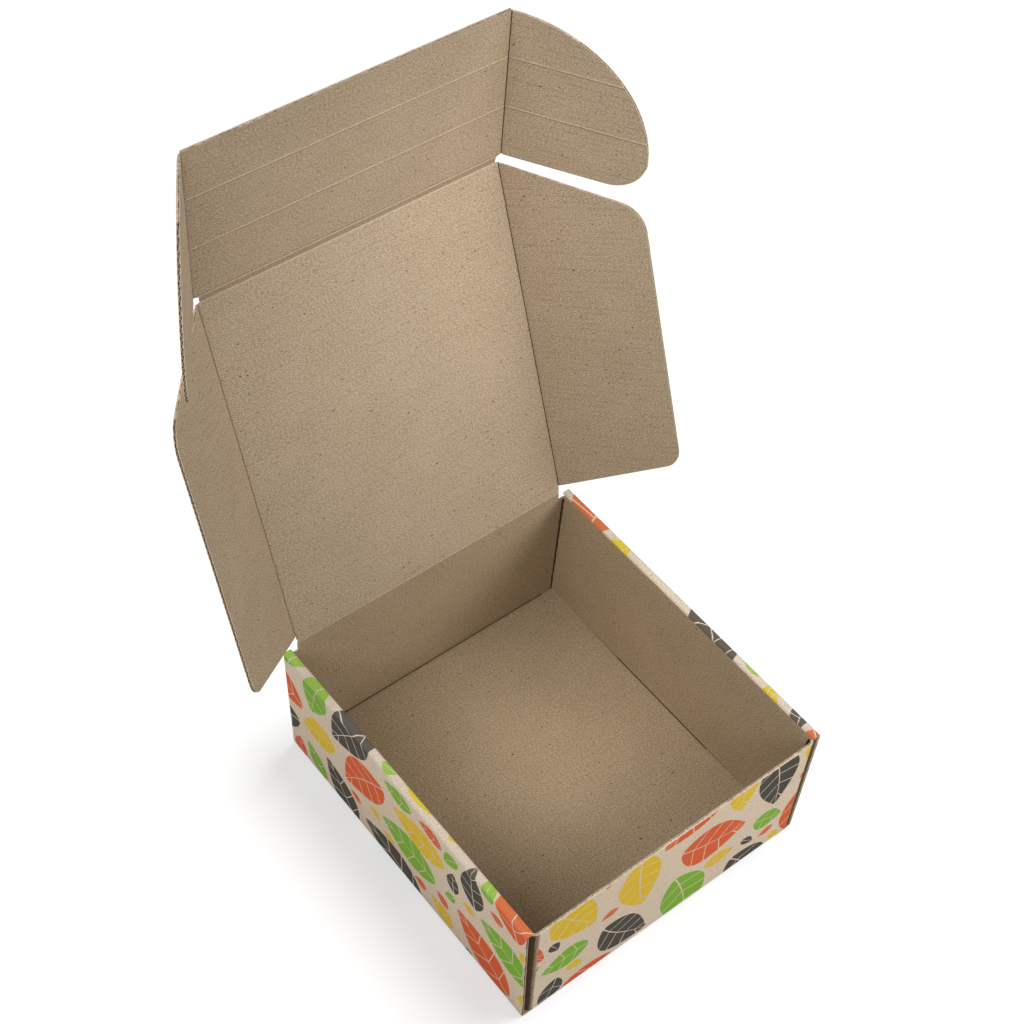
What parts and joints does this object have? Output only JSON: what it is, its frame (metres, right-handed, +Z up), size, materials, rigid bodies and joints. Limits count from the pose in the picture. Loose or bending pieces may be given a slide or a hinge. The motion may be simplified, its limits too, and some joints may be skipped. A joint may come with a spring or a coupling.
{
  "type": "corrugated mailer box",
  "caption": "One-piece folded corrugated mailer box with rolled, tab-locked side walls, hinged lid, side wings and a tuck flap with rounded ears.",
  "frame": {"origin": "middle of the tray's underside", "axes": "+X to the box's right, +Y to the back where the lid hinges, +Z up"},
  "size_m": [0.2899, 0.2932, 0.3974],
  "materials": {
    "board": "matte"
  },
  "bodies": {
    "tray": {"tray": "board"},
    "lid": {"lid": "board"},
    "wing_left": {"wing_left": "board"},
    "wing_right": {"wing_right": "board"},
    "tuck_flap": {"tuck_flap": "board"},
    "ear_left": {"ear_left": "board"},
    "ear_right": {"ear_right": "board"}
  },
  "joints": [
    {"name": "lid_hinge", "type": "hinge", "parent": "tray", "child": "lid", "pos_m": [0, 0.10845, 0.0976], "axis": [1, 0, 0], "range_deg": [-69.7, 56]},
    {"name": "wing_left_hinge", "type": "hinge", "parent": "lid", "child": "wing_left", "pos_m": [-0.09445, 0.10845, 0.0976], "axis": [0, 0.3469, 0.9379], "range_deg": [-47.6, 42.4]},
    {"name": "wing_right_hinge", "type": "hinge", "parent": "lid", "child": "wing_right", "pos_m": [0.09445, 0.10845, 0.0976], "axis": [0, -0.3469, -0.9379], "range_deg": [-61.8, 28.2]},
    {"name": "tuck_hinge", "type": "hinge", "parent": "lid", "child": "tuck_flap", "pos_m": [0, 0.18304, 0.29925], "axis": [1, 0, 0], "range_deg": [-21.8, 12]},
    {"name": "ear_left_hinge", "type": "hinge", "parent": "tuck_flap", "child": "ear_left", "pos_m": [-0.09635, 0.18304, 0.29925], "axis": [0, -0.0262, 0.9997], "range_deg": [-56.6, 33.4]},
    {"name": "ear_right_hinge", "type": "hinge", "parent": "tuck_flap", "child": "ear_right", "pos_m": [0.09635, 0.18304, 0.29925], "axis": [0, 0.0262, -0.9997], "range_deg": [-57.4, 32.6]}
  ]
}
